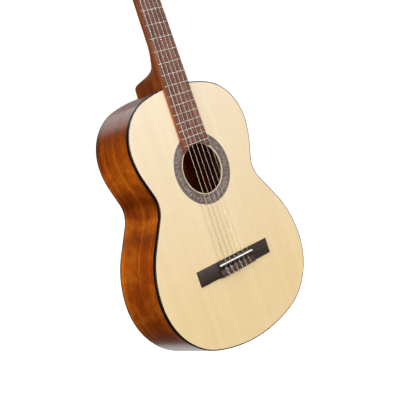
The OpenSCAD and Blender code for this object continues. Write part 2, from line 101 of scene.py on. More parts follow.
def add_mesh(name, verts, faces, mat, body=ROOT, replaces=(), uvs=None, smooth=True):
    """A new piece from points in millimetres. uvs holds one (u, v) for each point."""
    mesh = bpy.data.meshes.new(name)
    mesh.from_pydata([Vector(v) * MM for v in verts], [], faces)
    if uvs:
        layer = mesh.uv_layers.new(name="UVMap")
        for loop in mesh.loops:
            layer.data[loop.index].uv = uvs[loop.vertex_index]
    bm = bmesh.new()
    bm.from_mesh(mesh)
    bmesh.ops.recalc_face_normals(bm, faces=bm.faces)
    bm.to_mesh(mesh)
    bm.free()
    for poly in mesh.polygons:
        poly.use_smooth = smooth
    mesh.materials.append(mat)
    obj = bpy.data.objects.new(name, mesh)
    bpy.context.scene.collection.objects.link(obj)
    if replaces:
        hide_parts(*replaces)
    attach(obj, body)
    return obj


def grid_faces(rows, cols, wrap_cols=False, wrap_rows=False):
    """Quads between rows of points that are stored one row after another."""
    faces = []
    for r in range(rows if wrap_rows else rows - 1):
        for c in range(cols if wrap_cols else cols - 1):
            r2, c2 = (r + 1) % rows, (c + 1) % cols
            faces.append((r * cols + c, r * cols + c2, r2 * cols + c2, r2 * cols + c))
    return faces


def smooth_by_angle(obj, degrees, weld=WELD_REACH):
    """Merges split corners and rounds the shading below an edge angle, without touching the mesh itself."""
    merge = obj.modifiers.new("Weld", "WELD")
    merge.merge_threshold = weld
    tree = bpy.data.node_groups.get("Smooth%d" % degrees) or smooth_group(degrees)
    obj.modifiers.new("Smooth", "NODES").node_group = tree


def smooth_group(degrees):
    tree = bpy.data.node_groups.new("Smooth%d" % degrees, "GeometryNodeTree")
    tree.interface.new_socket("Geometry", in_out="INPUT", socket_type="NodeSocketGeometry")
    tree.interface.new_socket("Geometry", in_out="OUTPUT", socket_type="NodeSocketGeometry")
    source = tree.nodes.new("NodeGroupInput")
    target = tree.nodes.new("NodeGroupOutput")
    faces = tree.nodes.new("GeometryNodeSetShadeSmooth")
    faces.domain = "FACE"
    edges = tree.nodes.new("GeometryNodeSetShadeSmooth")
    edges.domain = "EDGE"
    angle = tree.nodes.new("GeometryNodeInputMeshEdgeAngle")
    less = tree.nodes.new("FunctionNodeCompare")
    less.data_type = "FLOAT"
    less.operation = "LESS_EQUAL"
    less.inputs["B"].default_value = math.radians(degrees)
    tree.links.new(source.outputs[0], faces.inputs["Geometry"])
    tree.links.new(faces.outputs[0], edges.inputs["Geometry"])
    tree.links.new(angle.outputs["Unsigned Angle"], less.inputs["A"])
    tree.links.new(less.outputs["Result"], edges.inputs["Shade Smooth"])
    tree.links.new(edges.outputs[0], target.inputs[0])
    return tree


def dress(node, mat, bevel=0.0, angle=32):
    """Gives a CAD node a material, smooth shading and, if asked, softened edges. Its mesh stays as it is."""
    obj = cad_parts[node]
    obj.data.materials.clear()
    obj.data.materials.append(mat)
    if bevel:
        merge = obj.modifiers.new("Join", "WELD")
        merge.merge_threshold = WELD_REACH
        soft = obj.modifiers.new("Bevel", "BEVEL")
        soft.width = bevel * MM
        soft.segments = 2
        soft.limit_method = "ANGLE"
        soft.angle_limit = math.radians(angle)
    smooth_by_angle(obj, angle)


# ---- materials ----
def rgb(r, g, b):
    """A screen colour, 0 to 255, as the linear colour that Blender wants."""
    def channel(v):
        v /= 255
        return v / 12.92 if v <= 0.04045 else ((v + 0.055) / 1.055) ** 2.4
    return (channel(r), channel(g), channel(b), 1.0)


class Graph:
    """A material's node tree with short calls for the nodes used here."""

    def __init__(self, name, coords="Object", **shader):
        self.mat = bpy.data.materials.new(name)
        self.mat.use_nodes = True
        self.tree = self.mat.node_tree
        self.shader = self.tree.nodes["Principled BSDF"]
        for key, value in shader.items():
            self.shader.inputs[key.replace("_", " ")].default_value = value
        self.coords = self.tree.nodes.new("ShaderNodeTexCoord").outputs[coords]

    def node(self, kind, inputs=(), **settings):
        node = self.tree.nodes.new(kind)
        for key, value in settings.items():
            setattr(node, key, value)
        for key, value in dict(inputs).items():
            if isinstance(value, bpy.types.NodeSocket):
                self.tree.links.new(value, node.inputs[key])
            else:
                node.inputs[key].default_value = value
        return node

    def scaled(self, scale, vector=None, offset=(0, 0, 0)):
        node = self.node("ShaderNodeMapping", {
            "Vector": vector or self.coords, "Scale": scale, "Location": offset})
        return node.outputs[0]

    def noise(self, scale, detail=4.0, rough=0.55, warp=0.0, vector=None, offset=(0, 0, 0)):
        """Noise over coordinates stretched by scale, which is in cells for each metre."""
        node = self.node("ShaderNodeTexNoise", {
            "Vector": self.scaled(scale, vector, offset), "Scale": 1.0, "Detail": detail,
            "Roughness": rough, "Distortion": warp})
        return node.outputs["Fac"]

    def math(self, op, a, b=0.0):
        return self.node("ShaderNodeMath", {0: a, 1: b}, operation=op).outputs[0]

    def parts(self, vector=None):
        """The X, Y and Z of a vector, or of this material's coordinates."""
        return self.node("ShaderNodeSeparateXYZ", {0: vector or self.coords}).outputs

    def cell_value(self, u, v, seed):
        """One random value for each whole u and v."""
        cell = self.node("ShaderNodeCombineXYZ", {0: u, 1: v, 2: seed}).outputs[0]
        return self.node("ShaderNodeTexWhiteNoise", {"Vector": cell}, noise_dimensions="3D").outputs["Value"]

    def ramp(self, fac, stops, mode="LINEAR"):
        node = self.node("ShaderNodeValToRGB", {"Fac": fac})
        node.color_ramp.interpolation = mode
        elements = node.color_ramp.elements
        while len(elements) < len(stops):
            elements.new(0.5)
        for element, (at, colour) in zip(elements, stops):
            element.position = at
            element.color = colour if len(colour) == 4 else (*colour, 1)
        return node.outputs[0]

    def levels(self, fac, low, high, to_low=0.0, to_high=1.0):
        node = self.node("ShaderNodeMapRange", {
            "Value": fac, "From Min": low, "From Max": high, "To Min": to_low, "To Max": to_high})
        return node.outputs[0]

    def mix(self, fac, a, b, blend="MIX"):
        node = self.node("ShaderNodeMix", data_type="RGBA", blend_type=blend)
        for index, value in ((0, fac), (6, a), (7, b)):
            if isinstance(value, bpy.types.NodeSocket):
                self.tree.links.new(value, node.inputs[index])
            else:
                node.inputs[index].default_value = value
        return node.outputs[2]

    def paint(self, colour, rough=None, height=None, strength=0.2, depth=0.0002):
        self.set("Base Color", colour)
        if rough is not None:
            self.set("Roughness", rough)
        if height is not None:
            bump = self.node("ShaderNodeBump", {"Height": height, "Strength": strength, "Distance": depth})
            self.set("Normal", bump.outputs[0])
        return self.mat

    def set(self, name, value):
        if isinstance(value, bpy.types.NodeSocket):
            self.tree.links.new(value, self.shader.inputs[name])
        else:
            self.shader.inputs[name].default_value = value

    def cover(self, fac, colour):
        """Lays one more colour over the finished base colour."""
        face = self.shader.inputs["Base Color"].links[0].from_socket
        self.set("Base Color", self.mix(fac, face, colour))


def axis_scale(axis, along, across):
    """Stretch for grain that runs along one axis."""
    scale = [across] * 3
    scale["XYZ".index(axis)] = along
    return tuple(scale)


def spruce_top():
    """Pale quarter-sawn spruce under clear lacquer: fine straight lines along the body, silk across them.

    It is paler towards the neck, a painted sheen whose colours were tuned to the photo.
    """
    g = Graph("SpruceTop", Coat_Weight=0.35, Coat_Roughness=0.12)
    lines = g.node("ShaderNodeTexWave", {
        "Vector": g.coords, "Scale": 190.0, "Distortion": 2.2, "Detail": 2.0, "Detail Scale": 0.03},
        wave_type="BANDS", bands_direction="X").outputs["Fac"]
    wide = g.noise((55, 2, 1.6), 3.0)
    silk = g.noise((18, 18, 160), 3.0, 0.6, 0.4)
    fibre = g.noise((1600, 60, 14), 2.0)
    lower_tone = g.ramp(wide, [(0.3, rgb(229, 201, 147)), (0.7, rgb(234, 209, 159))])
    painted_sheen_tone = g.ramp(wide, [(0.3, rgb(231, 212, 181)), (0.7, rgb(236, 219, 190))])
    # painted sheen: the colour turns paler towards the neck, up the Z
    base = g.mix(g.levels(g.parts()["Z"], 0.1, 0.45), lower_tone, painted_sheen_tone)
    base = g.mix(g.levels(lines, 0.55, 1.0, 0.0, 0.13), base, rgb(206, 168, 112))
    base = g.mix(g.levels(silk, 0.45, 0.75, 0.0, 0.1), base, rgb(252, 240, 214))
    rough = g.levels(fibre, 0.3, 0.7, 0.3, 0.38)
    return g.paint(base, rough, fibre, 0.05, 0.0001)


def bare_wood(name, dark, pale, axis):
    """Unfinished inner wood with its grain along one axis."""
    g = Graph(name, Specular_IOR_Level=0.25)
    streak = g.noise(axis_scale(axis, 6, 260), 4.0, 0.6)
    fibre = g.noise(axis_scale(axis, 40, 1500), 3.0)
    base = g.ramp(streak, [(0.3, dark), (0.7, pale)])
    return g.paint(base, g.levels(fibre, 0.2, 0.8, 0.62, 0.8), fibre, 0.25, 0.0002)


def mahogany(name, coords, axis, colours, rough=0.3, coat=0.15, shift=(0, 0, 0), painted_light_tones=None, joint=False):
    """Red-brown wood: ribbon bands, dark streaks and short open pores along one axis, lacquered.

    The tones, when given, are painted reflections and shade that multiply it along X, and joint draws the glue
    line of two halves at X 0.
    """
    g = Graph(name, coords, Coat_Weight=coat, Coat_Roughness=0.2, Specular_IOR_Level=0.25)
    dark, mid, bright = colours
    band = g.noise(axis_scale(axis, 1.6, 60), 3.0, 0.5, 0.35, offset=shift)
    streak = g.noise(axis_scale(axis, 7, 380), 5.0, 0.65, 0.2, offset=shift)
    figure = g.noise(axis_scale(axis, 26, 16), 2.0, 0.5, 0.8, offset=shift)
    pores = g.noise(axis_scale(axis, 130, 2600), 2.0, 0.5, offset=shift)
    fleck = g.noise(axis_scale(axis, 85, 620), 4.0, 0.7, offset=shift)
    base = g.ramp(band, [(0.3, dark), (0.5, mid), (0.72, bright)])
    base = g.mix(g.levels(streak, 0.42, 0.7, 0.0, 0.34), base, dark)
    base = g.mix(g.levels(figure, 0.42, 0.75, 0.0, 0.5), base, bright)
    base = g.mix(g.levels(fleck, 0.45, 0.65, 0.0, 0.75), base, dark)
    # painted reflections and shade: tones along the rib multiply the colour
    if painted_light_tones:
        base = g.mix(1.0, base, g.ramp(g.parts()["X"], painted_light_tones), "MULTIPLY")
    deep = g.levels(pores, 0.6, 0.72, 0.0, 0.55)
    base = g.mix(deep, base, tuple(0.3 * c for c in dark[:3]) + (1,))
    if joint:
        middle = g.math("ABSOLUTE", g.parts()["X"])
        base = g.mix(g.math("LESS_THAN", middle, 0.00035), base, rgb(30, 12, 5))
    gloss = g.levels(streak, 0.3, 0.7, rough - 0.04, rough + 0.06)
    return g.paint(base, gloss, g.math("SUBTRACT", streak, deep), 0.09, 0.00015)


def rosewood(name, axis, colours, rough=0.42):
    """Dark open-grained wood with long irregular streaks and pores, oiled. Returns the graph."""
    g = Graph(name, "Object", Specular_IOR_Level=0.3)
    black, brown, pink = colours
    streak = g.noise(axis_scale(axis, 16, 330), 5.0, 0.65, 0.5)
    patch = g.noise(axis_scale(axis, 45, 200), 3.0, 0.6, 0.6)
    pores = g.noise(axis_scale(axis, 210, 2400), 2.0)
    base = g.ramp(streak, [(0.32, black), (0.5, brown), (0.68, pink)])
    base = g.mix(g.levels(patch, 0.42, 0.7, 0.0, 0.55), base, brown)
    deep = g.levels(pores, 0.58, 0.7, 0.0, 0.8)
    base = g.mix(deep, base, tuple(0.35 * c for c in black[:3]) + (1,))
    gloss = g.levels(patch, 0.3, 0.7, rough - 0.06, rough + 0.08)
    g.paint(base, gloss, g.math("SUBTRACT", streak, deep), 0.3, 0.0002)
    return g


def bridge_wood(axis, colours, rough):
    """Dark rosewood, redder in spots on the tie block."""
    g = rosewood("BridgeRosewood", axis, colours, rough)
    parts = g.parts()
    inside = g.levels(g.math("ABSOLUTE", parts["X"]), 0.0425, 0.0415)
    low = g.levels(parts["Z"], 0.1415, 0.1405)
    high = g.levels(parts["Y"], -0.0062, -0.0078)
    spot = g.levels(g.noise((260, 260, 420), 3.0), 0.42, 0.62)
    # redder brown in spots on the top of the tie block
    redder_spots = g.math("MULTIPLY", g.math("MULTIPLY", inside, low), g.math("MULTIPLY", high, spot))
    g.cover(redder_spots, rgb(82, 50, 36))
    return g.mat


def fingerboard_wood():
    """Rosewood, with a warmer brown on the side faces."""
    g = rosewood("FingerboardRosewood", "Z", (rgb(50, 29, 22), rgb(106, 62, 46), rgb(160, 106, 82)))
    normal = g.node("ShaderNodeNewGeometry").outputs["Normal"]
    facing = g.levels(g.math("ABSOLUTE", g.parts(normal)["X"]), 0.7, 0.9)
    stripe = g.noise((300, 300, 8), 4.0)
    edge = g.ramp(stripe, [(0.3, rgb(122, 52, 18)), (0.7, rgb(168, 88, 40))])
    g.cover(facing, edge)
    return g.mat


def lacquered_black():
    """Black plastic binding: very fine scratches, faint dust mottling."""
    g = Graph("BlackBinding", Coat_Weight=0.1, Coat_Roughness=0.15, Specular_IOR_Level=0.3)
    mottle = g.noise((90, 90, 90), 3.0)
    scratch = g.noise((900, 120, 900), 2.0)
    base = g.ramp(mottle, [(0.3, rgb(7, 6, 7)), (0.75, rgb(18, 16, 17))])
    return g.paint(base, g.levels(scratch, 0.3, 0.7, 0.24, 0.4), scratch, 0.04, 0.0001)


def rosette_tiles():
    """Rings of small wood tiles: u counts tiles round the hole, v runs from the inner to the outer edge."""
    g = Graph("RosetteMosaic", "UV", Coat_Weight=0.35, Coat_Roughness=0.12)
    fringe_at, edge_at, line_half = 0.31, 0.46, 0.018
    u, v = g.parts()["X"], g.parts()["Y"]
    cell_u = g.math("FLOOR", g.math("MULTIPLY", u, 5.0))
    cell_v = g.math("FLOOR", g.math("MULTIPLY", v, 14.0))
    motif = g.cell_value(g.math("PINGPONG", cell_u, 4.0), cell_v, 0.0)
    own = g.cell_value(cell_u, cell_v, 3.0)
    tone = g.math("ADD", g.math("MULTIPLY", motif, 0.75), g.math("MULTIPLY", own, 0.25))
    tiles = g.ramp(tone, [
        (0.0, rgb(48, 40, 40)), (0.22, rgb(98, 84, 82)), (0.42, rgb(142, 128, 122)),
        (0.6, rgb(122, 92, 64)), (0.74, rgb(76, 66, 66)), (0.88, rgb(168, 152, 138))], "CONSTANT")
    fringe = g.mix(g.math("FRACT", g.math("MULTIPLY", u, 4.0)), rgb(96, 86, 88), rgb(128, 116, 116))
    away = g.math("ABSOLUTE", g.math("SUBTRACT", v, 0.5))
    base = g.mix(g.math("GREATER_THAN", away, fringe_at), tiles, fringe)
    between = g.math("LESS_THAN", g.math("ABSOLUTE", g.math("SUBTRACT", away, fringe_at)), line_half)
    line = g.math("MAXIMUM", g.math("GREATER_THAN", away, edge_at), between)
    base = g.mix(line, base, rgb(44, 38, 40))
    return g.paint(base, g.levels(own, 0, 1, 0.26, 0.36), own, 0.05, 0.00005)


def metal(name, colour, rough, scratch, tarnish):
    """Polished metal with fine scratches and a duller tone in patches."""
    g = Graph(name, Metallic=1.0)
    fine = g.noise(scratch, 3.0)
    patch = g.noise((120, 120, 120), 3.0, 0.6)
    base = g.mix(g.levels(patch, 0.45, 0.75, 0.0, 0.6), colour, tarnish)
    return g.paint(base, g.levels(fine, 0.3, 0.7, rough - 0.06, rough + 0.1), fine, 0.012, 0.00003)


def wound_string():
    """Silvered wire wound on a core: v counts turns of the winding."""
    g = Graph("WoundString", "UV", Metallic=1.0)
    parts = g.parts()
    turn = g.math("FRACT", g.math("ADD", parts["Y"], parts["X"]))
    ridge = g.math("SINE", g.math("MULTIPLY", turn, math.pi))
    patch = g.noise((0.3, 0.02, 1), 3.0)
    # painted shade: darker in the grooves between turns than on the ridges
    base = g.mix(g.levels(ridge, 0.0, 0.5), rgb(168, 155, 148), rgb(196, 184, 175))
    base = g.mix(g.levels(patch, 0.4, 0.7, 0.0, 0.3), base, rgb(180, 164, 146))
    return g.paint(base, g.levels(patch, 0.3, 0.7, 0.5, 0.62), ridge, 0.06, 0.00003)


def nylon_string():
    """Clear nylon, slightly milky and drawn smooth."""
    g = Graph("NylonString", Transmission_Weight=0.7, IOR=1.53, Alpha=0.6)
    drawn = g.noise((900, 900, 30), 2.0)
    base = g.ramp(drawn, [(0.3, rgb(236, 230, 212)), (0.7, rgb(250, 247, 236))])
    return g.paint(base, g.levels(drawn, 0.3, 0.7, 0.12, 0.22), drawn, 0.05, 0.00002)


def bone(name="Bone", pale=rgb(246, 242, 232), warm=rgb(228, 218, 196), rough=0.3):
    """Polished bone or ivory-coloured plastic, with faint fibres."""
    g = Graph(name, Subsurface_Weight=0.12, Subsurface_Scale=0.002)
    g.shader.inputs["Subsurface Radius"].default_value = (1.0, 0.7, 0.4)
    fibre = g.noise((60, 600, 600), 4.0)
    base = g.ramp(fibre, [(0.35, warm), (0.6, pale)])
    return g.paint(base, g.levels(fibre, 0.3, 0.7, rough - 0.05, rough + 0.08), fibre, 0.05, 0.00005)


def pearl():
    """Moulded pearl plastic: soft swirls of cream and grey-white."""
    g = Graph("PearlButton", Coat_Weight=0.6, Coat_Roughness=0.06, Sheen_Weight=0.2)
    swirl = g.noise((190, 190, 190), 3.0, 0.5, 2.2)
    base = g.ramp(swirl, [
        (0.3, rgb(214, 208, 196)), (0.5, rgb(242, 238, 228)), (0.68, rgb(225, 222, 216))])
    return g.paint(base, g.levels(swirl, 0.3, 0.7, 0.18, 0.3), swirl, 0.03, 0.0001)


RIB_TONES = (rgb(98, 34, 4), rgb(160, 70, 7), rgb(214, 116, 26))
NECK_TONES = (rgb(84, 36, 14), rgb(132, 62, 20), rgb(168, 90, 34))
# Tones over the metres along a rib, tuned to the photo: they stand in for reflections of its studio.
RIB_SHADE = [
    (0.0, (0.42, 0.38, 0.4)), (0.13, (0.5, 0.45, 0.45)), (0.19, (1.15, 1.15, 1.0)), (0.235, (1.35, 1.4, 1.0)),
    (0.275, (0.52, 0.44, 0.37)), (0.309, (1.4, 1.45, 1.1)), (0.337, (0.85, 0.8, 0.7)), (0.37, (1.35, 1.4, 1.0)),
    (0.46, (1.0, 1.0, 0.9)), (0.56, (0.39, 0.35, 0.37))]
SPRUCE = spruce_top()
RIB_WOOD = mahogany("MahoganyRibs", "UV", "X", RIB_TONES, painted_light_tones=RIB_SHADE)
BACK_WOOD = mahogany("MahoganyBack", "Object", "Z", RIB_TONES, shift=(0.3, 0.1, 0.7), joint=True)
NECK_WOOD = mahogany("MahoganyNeck", "Object", "Z", NECK_TONES, 0.34, 0.15, (1.7, 0, 0.2))
INNER_WOOD = bare_wood("CedarInner", rgb(120, 74, 42), rgb(166, 116, 74), "Z")
BRACE_WOOD = bare_wood("SpruceBracing", rgb(196, 156, 104), rgb(226, 194, 146), "X")
BOARD_WOOD = fingerboard_wood()
BRIDGE_WOOD = bridge_wood("X", (rgb(26, 17, 13), rgb(50, 35, 29), rgb(72, 52, 42)), 0.5)
VENEER_WOOD = rosewood("HeadRosewood", "Z", (rgb(38, 24, 18), rgb(72, 46, 34), rgb(104, 68, 50)), 0.3).mat
BLACK = lacquered_black()
TILES = rosette_tiles()
FRET_METAL = metal("NickelSilver", rgb(214, 203, 193), 0.34, (60, 900, 900), rgb(184, 170, 158))
BRASS = metal("BrassPlate", rgb(220, 192, 134), 0.28, (900, 500, 120), rgb(196, 160, 102))
GEAR_BRASS = metal("GearBrass", rgb(196, 158, 92), 0.34, (900, 900, 900), rgb(140, 104, 56))
WOUND = wound_string()
NYLON = nylon_string()
BONE = bone()
SADDLE_BONE = bone("SaddleBone", rgb(255, 254, 251), rgb(247, 243, 236), 0.28)
ROLLER_PLASTIC = bone("RollerPlastic", rgb(236, 230, 212), rgb(220, 210, 184), 0.38)
PEARL = pearl()


# ---- body outline ----
def arc(centre, r, a0, a1, n):
    """Points from angle a0 up to, but not at, a1. Distances are millimetres, y grows towards the tail."""
    step = (a1 - a0) / n
    return [(centre[0] + r * math.cos(a0 + step * i), centre[1] + r * math.sin(a0 + step * i)) for i in range(n)]


def half_outline(t, fine=3):
    """Right half of the body outline, moved inwards by t, as (x, z), from the neck end to the tail."""
    c1 = (UPPER - R_TOP, UPPER_AT)
    ra = (c1[0] ** 2 + UPPER_AT ** 2 - R_TOP ** 2) / (2 * (UPPER_AT - R_TOP))
    a1 = math.atan2(c1[1] - ra, c1[0])
    c2 = (UPPER - R_UP, UPPER_AT)
    c3 = (WAIST + R_WAIST, WAIST_AT)
    c4 = (LOWER - R_LOW, LOWER_AT)
    c5 = (LOWER - R_TAIL, LOWER_AT)
    tail = BODY_LEN - LOWER_AT
    rf = (c5[0] ** 2 + tail ** 2 - R_TAIL ** 2) / (2 * (tail - R_TAIL))
    af = math.atan2(c5[1] - BODY_LEN + rf, c5[0])
    t23 = math.atan2(c3[1] - c2[1], c3[0] - c2[0]) - math.acos((R_UP + R_WAIST) / math.dist(c2, c3))
    t34 = math.atan2(c4[1] - c3[1], c4[0] - c3[0]) + math.acos((R_LOW + R_WAIST) / math.dist(c3, c4))
    half = math.pi / 2
    points = (
        arc((0, ra), ra - t, -half, a1, 6 * fine)
        + arc(c1, R_TOP - t, a1, 0, 16 * fine)
        + arc(c2, R_UP - t, 0, t23, 10 * fine)
        + arc(c3, R_WAIST + t, t23 + math.pi, t34, 20 * fine)
        + arc(c4, R_LOW - t, t34 - math.pi, 0, 14 * fine)
        + arc(c5, R_TAIL - t, 0, af, 16 * fine)
        + arc((0, BODY_LEN - rf), rf - t, af, half, 6 * fine)
        + [(0, BODY_LEN - t)])
    return [(x, BODY_LEN - s) for x, s in points]


def dome_y(x, z, inset=0.0):
    """Height of the arched back over the soundboard's plane."""
    return DEPTH - BACK_R + math.sqrt((BACK_R - inset) ** 2 - x * x - (z - CROWN_Z) ** 2)


def lengths(points):
    """Distance of each point from the first, along the line."""
    total, out = 0.0, [0.0]
    for a, b in zip(points, points[1:]):
        total += math.dist(a, b)
        out.append(total)
    return out


def ring_round(points_half):
    """The whole outline from its right half, as a closed loop."""
    return points_half + [(-x, z) for x, z in points_half[-2:0:-1]]


def sweep_binding(name, profile, replaces):
    """Sweeps a closed profile of (inset, height rule) round the body's outline."""
    verts = []
    for inset, height in profile:
        for x, z in ring_round(half_outline(inset)):
            verts.append((x, height(x, z), z))
    cols = len(verts) // len(profile)
    faces = grid_faces(len(profile), cols, wrap_cols=True, wrap_rows=True)
    obj = add_mesh(name, verts, faces, BLACK, replaces=replaces)
    smooth_by_angle(obj, 50)


def make_bindings():
    """Profiles as (inset, height from the face): the outer edge is rounded, the inner one is square."""
    flat = [(0, BIND_H), (0, 1.0), (0.25, 0.3), (0.9, 0.0), (RIB_T, 0.0), (RIB_T, BIND_H)]
    sweep_binding("binding_front", [(t, lambda x, z, y=y: y) for t, y in flat], ("top_binding",))
    back = [(0, BIND_B), (0, 0.8), (0.2, 0.25), (0.8, 0.0), (RIB_T, 0.0), (RIB_T, BIND_B)]
    sweep_binding("binding_back", [(t, lambda x, z, y=y: dome_y(x, z, y)) for t, y in back],
                  ("back_binding",))


def make_rib(name, sign, node):
    """One bent side, from the neck joint round the bouts to the end strip."""
    outer, inner = half_outline(0), half_outline(RIB_T)
    run = lengths(outer)
    strip_hw = 4.0
    keep = [i for i, (x, z) in enumerate(outer) if x >= strip_hw or z > BODY_LEN / 2]
    levels = 10
    # the treble side takes its grain from further on, so that the two sides differ
    other_board = 300 if sign > 0 else 0
    rows = [(outer, k / levels) for k in range(levels + 1)] + [(inner, 1.0), (inner, 0.0)]
    verts, uvs = [], []
    for line, f in rows:
        for i in keep:
            x, z = line[i]
            top = dome_y(x, z, BIND_B)
            y = BIND_H + (top - BIND_H) * f
            verts.append((sign * x, y, z))
            uvs.append((run[i] * MM, (y + other_board) * MM))
    cols = len(keep)
    faces = grid_faces(len(rows), cols, wrap_rows=True)
    faces.append([r * cols for r in range(len(rows))])
    faces.append([r * cols + cols - 1 for r in range(len(rows))])
    obj = add_mesh(name, verts, faces, RIB_WOOD, replaces=(node,), uvs=uvs)
    smooth_by_angle(obj, 40)


def make_back():
    """Arched back plate with its two halves' joint line."""
    half = half_outline(RIB_T)
    across = 24
    verts = []
    for inset in (0.0, BACK_T):
        for x, z in half:
            for k in range(across + 1):
                px = x * (2 * k / across - 1)
                verts.append((px, dome_y(px, z, inset), z))
    rows, cols = len(half), across + 1
    faces = grid_faces(rows, cols)
    under = rows * cols
    faces += [tuple(under + v for v in f) for f in grid_faces(rows, cols)]
    for k in (0, across):
        for r in range(rows - 1):
            a, b = r * cols + k, (r + 1) * cols + k
            faces.append((a, b, under + b, under + a))
    obj = add_mesh("back_skin", verts, faces, BACK_WOOD, replaces=("back_plate",))
    smooth_by_angle(obj, 40, 0.0001)


def make_rosette():
    """Ring of mosaic, a hair proud of the soundboard, so that the two faces share no plane."""
    around, bands = 240, 6
    tiles = round(2 * math.pi * TILE_RING_R / TILE_SPAN)
    verts, uvs = [], []
    levels = [(k / bands, -ROSETTE_LIFT) for k in range(bands + 1)] + [(1.0, 1.0), (0.07, 1.0)]
    for f, y in levels:
        r = ROSETTE_IN + (ROSETTE_OUT - ROSETTE_IN) * f
        for i in range(around + 1):
            a = 2 * math.pi * i / around
            verts.append((r * math.cos(a), y, HOLE_Z + r * math.sin(a)))
            uvs.append((i / around * tiles, f))
    faces = grid_faces(len(levels), around + 1, wrap_rows=True)
    add_mesh("rosette_mosaic", verts, faces, TILES, replaces=("rosette",),
             uvs=uvs, smooth=False)


# ---- neck ----
def board_hw(z):
    """Half the fingerboard's width."""
    return JOINT_W / 2 - (JOINT_W - NUT_W) / 2 * (z - BODY_LEN) / (NUT_Z - BODY_LEN)


def board_y(z):
    """The seam between fingerboard and neck, which leans forward towards the nut."""
    return -LEAN * max(0.0, z - BODY_LEN) / (NUT_Z - BODY_LEN)


def smooth_step(t):
    """Eases from 0 to 1 as t does, and stays at the ends."""
    t = min(1.0, max(0.0, t))
    return t * t * (3 - 2 * t)


def heel_end(z):
    """How far back the heel reaches: the back's arch on the centre line."""
    return DEPTH - (z - CROWN_Z) ** 2 / (2 * BACK_R)


def neck_depth(z):
    """Depth of neck or heel behind the seam."""
    if z > BODY_LEN + HEEL_REACH:
        return NECK_D + HEAD_SWELL * smooth_step((z - NUT_Z + SWELL_BELOW_NUT) / SWELL_RUN)
    s = max(0.0, z - BODY_LEN) / HEEL_REACH
    tail = HEEL_FOOT * (1 - s) ** 1.5
    f = tail + (1 - tail) / (1 + (s / HEEL_TURN) ** HEEL_POWER)
    return NECK_D + (heel_end(z) - board_y(z) - NECK_D) * f


def neck_ring(z, n):
    """One cross-section of the neck or heel, from the treble edge round the back to the bass edge."""
    ring = []
    cap = heel_end(BODY_LEN) - 3
    heel = 1 - smooth_step((z - BODY_LEN - 22) / 32)
    for k in range(n + 1):
        t = math.pi * k / n
        u, a = math.sin(t), board_hw(z)
        w = (a - HEEL_HW) * (1 - u) ** 1.6 + HEEL_HW * math.sqrt(max(0.0, 1 - u ** 60))
        sign = 0 if k * 2 == n else (1 if k * 2 < n else -1)
        x = (1 - heel) * a * math.cos(t) + heel * w * sign
        y = board_y(z) + neck_depth(z) * u
        ring.append((x, min(y, cap), z))
    return ring


def make_neck():
    """Neck and heel in one piece, from inside the rib to the head."""
    low = BODY_LEN - 2.2
    # close together along the heel, wide apart up the neck, close again below the head
    stations = [low + i * 1.5 for i in range(46)]
    stations += [low + 70 + i * 8 for i in range(29)]
    stations += [NUT_Z - 16, NUT_Z - 11, NUT_Z - 6, NUT_Z - 1, NUT_Z + NUT_T]
    n = 64
    verts = [p for z in stations for p in neck_ring(z, n)]
    faces = grid_faces(len(stations), n + 1, wrap_cols=True)
    faces.append(list(range(n + 1)))
    faces.append([(len(stations) - 1) * (n + 1) + i for i in range(n + 1)])
    obj = add_mesh("neck_and_heel", verts, faces, NECK_WOOD, replaces=("neck",))
    smooth_by_angle(obj, 35)


# ---- strings ----
def tube(points, radius, sides=14, pitch=1.0):
    """Mesh of a round wire along points, with (u, v) round and along it. pitch is millimetres for each v."""
    points = [Vector(p) for p in points]
    verts, uvs, run = [], [], 0.0
    ahead = (points[1] - points[0]).normalized()
    up = ahead.orthogonal().normalized()
    for i, p in enumerate(points):
        before = points[max(0, i - 1)]
        after = points[min(len(points) - 1, i + 1)]
        run += (p - before).length
        along = (after - before).normalized()
        up = (up - along * up.dot(along)).normalized()
        right = along.cross(up)
        for k in range(sides + 1):
            a = 2 * math.pi * k / sides
            verts.append(p + radius * (math.cos(a) * up + math.sin(a) * right))
            uvs.append((k / sides, run / pitch))
    faces = grid_faces(len(points), sides + 1)
    faces.append(list(range(sides)))
    faces.append([(len(points) - 1) * (sides + 1) + k for k in range(sides)])
    return verts, faces, uvs


def rounded(points, radius, steps=5):
    """The path with each inner corner replaced by a small curve of about that reach."""
    points = [Vector(p) for p in points]
    out = [points[0]]
    for a, b, c in zip(points, points[1:], points[2:]):
        reach = min(radius, (b - a).length / 2, (c - b).length / 2)
        start, end = b + (a - b).normalized() * reach, b + (c - b).normalized() * reach
        for k in range(steps + 1):
            t = k / steps
            out.append(start.lerp(b, t).lerp(b.lerp(end, t), t))
    return out + [points[-1]]


def spline(points, steps=6):
    """Catmull-Rom curve through the points."""
    points = [Vector(p) for p in points]
    out = []
    for i in range(len(points) - 1):
        p0, p1 = points[max(0, i - 1)], points[i]
        p2, p3 = points[i + 1], points[min(len(points) - 1, i + 2)]
        for k in range(steps):
            t = k / steps
            out.append(0.5 * (2 * p1 + (p2 - p0) * t + (2 * p0 - 5 * p1 + 4 * p2 - p3) * t * t
                              + (3 * p1 - p0 - 3 * p2 + p3) * t ** 3))
    return out + [points[-1]]


def string_points(i):
    """From the roller over nut and saddle and through the tie hole, ending 0.4 short of the part's."""
    r = STRING_R[i - 1]
    saddle_x = string_x(i, SADDLE_SPREAD)
    return [
        from_head(WIND_X[i - 1], ROLLER_Y - ROLLER_R - 0.3 - r, roller_at(i) - 0.4),
        Vector((string_x(i, NUT_SPREAD), NUT_TOP - r, NUT_Z + 0.8)),
        Vector((saddle_x, SADDLE_TOP - r, SADDLE_Z - 0.5)),
        Vector((saddle_x, TIE_HOLE_Y, SADDLE_Z - 8.6)),
        Vector((saddle_x, TIE_HOLE_Y, SADDLE_Z - 22.0))]


def string_look(i):
    """Material, slot and millimetres of length for each step of v: wound bass strings, plain treble ones."""
    return (WOUND, "wound_string", 0.32) if i > 3 else (NYLON, "nylon_string", 1.0)


